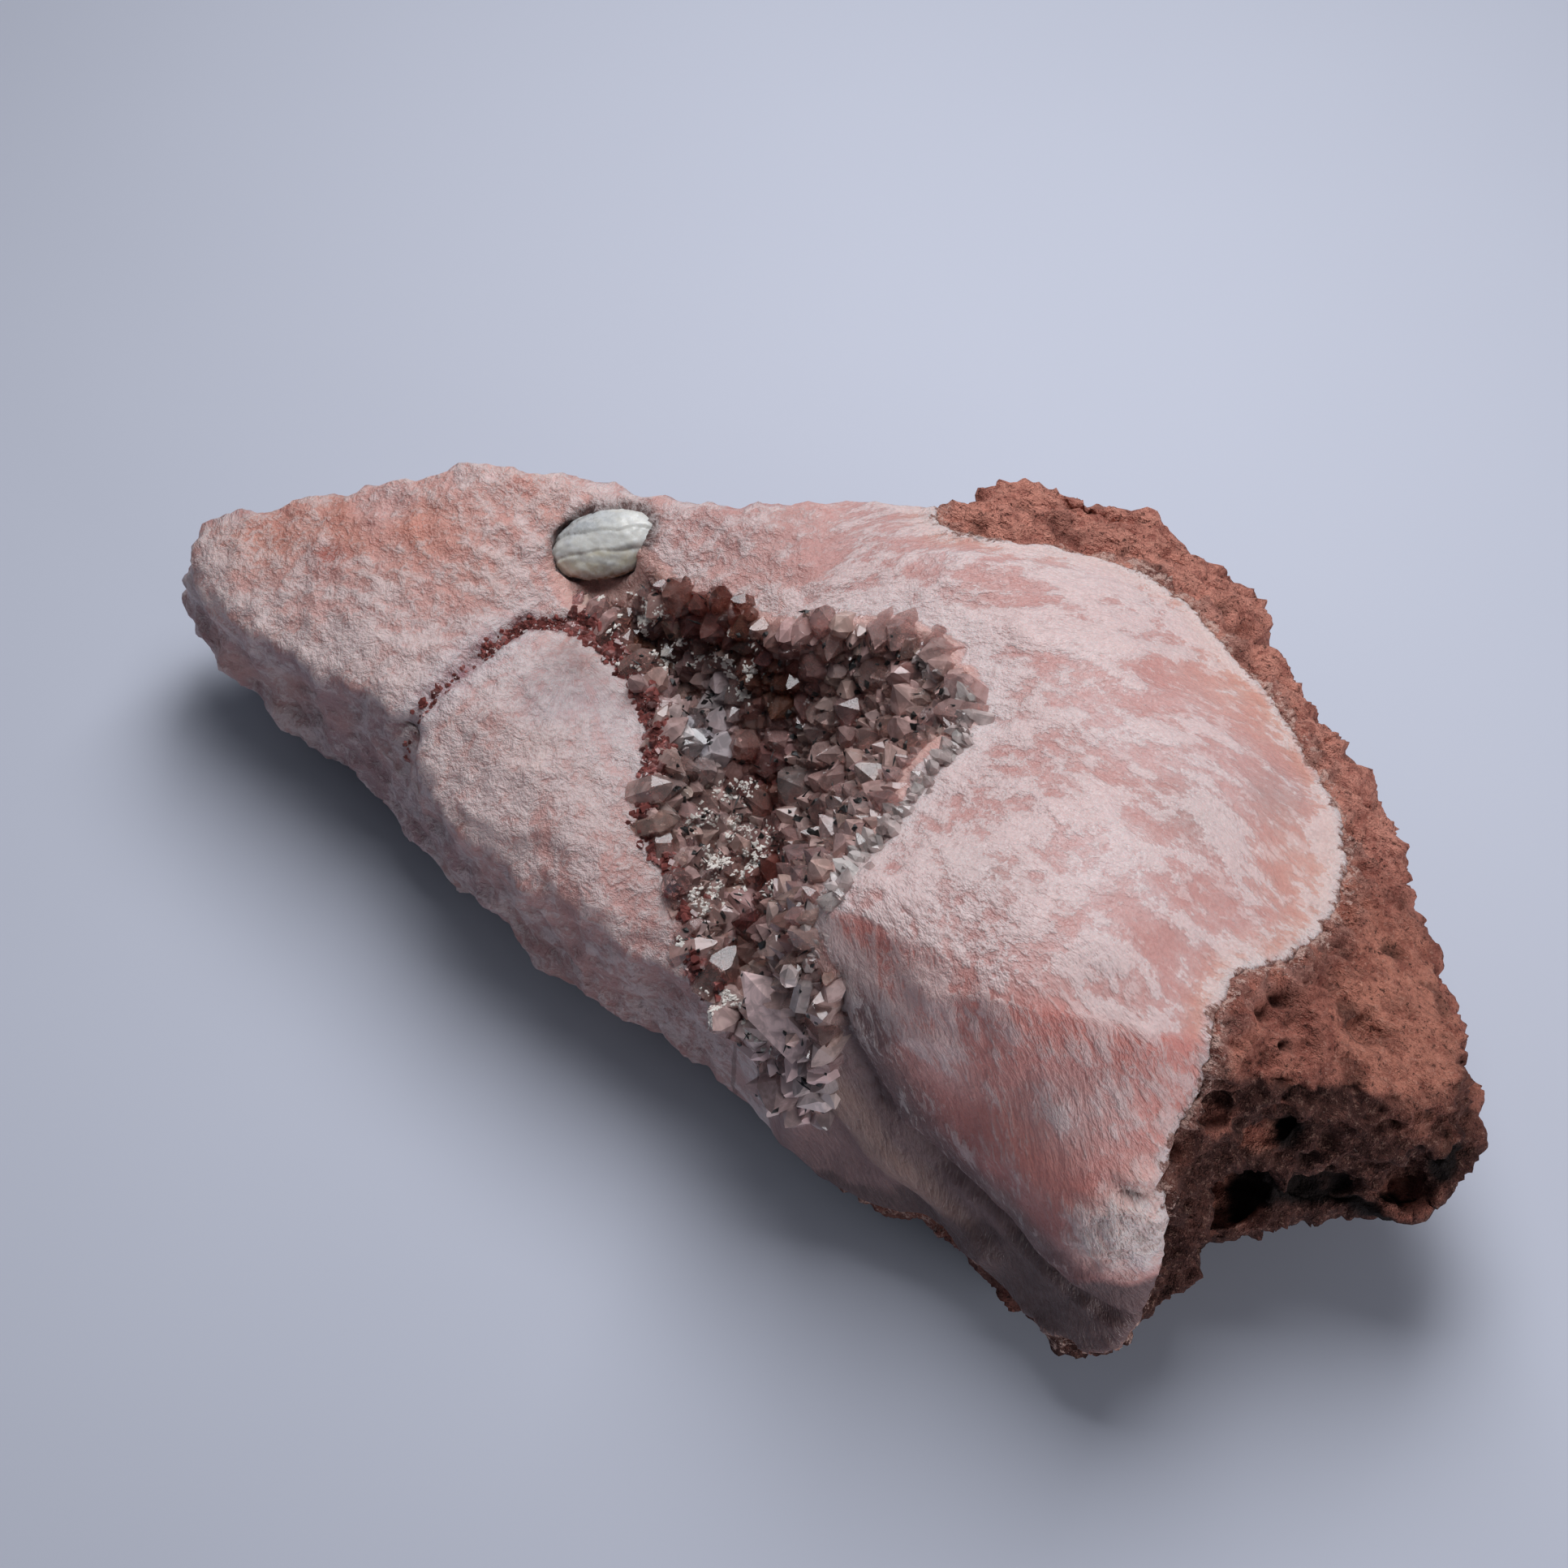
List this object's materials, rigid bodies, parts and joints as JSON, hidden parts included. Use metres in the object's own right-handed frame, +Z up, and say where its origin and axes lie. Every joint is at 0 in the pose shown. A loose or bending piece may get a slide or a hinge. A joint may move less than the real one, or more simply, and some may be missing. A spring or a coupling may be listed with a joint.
{
  "type": "calcite with quartz hand specimen",
  "caption": "Wedge of pink vein calcite on red-brown host rock, with a crystal-lined quartz vug and one pale calcite blade.",
  "frame": {"origin": "middle of the bounding box in plan, on the surface that the specimen rests on", "axes": "+X along the specimen to its host-rock end, +Y to its back, +Z up out of the resting face"},
  "size_m": [0.1498, 0.0774, 0.0477],
  "materials": {
    "calcite": "salmon-pink to cream vein calcite, translucent, broken along flaky cleavage, dull satin",
    "host_rock": "red-brown fine-grained vesicular rock, rough and matte",
    "quartz": "smoky pink-grey clear quartz, bright glassy faces",
    "blade_calcite": "cream-white translucent calcite, satin, with fine parting lines"
  },
  "bodies": {
    "root": {"calcite_vein": "calcite", "host_rock": "host_rock", "quartz_crust": "quartz", "calcite_blade": "blade_calcite"}
  },
  "joints": []
}
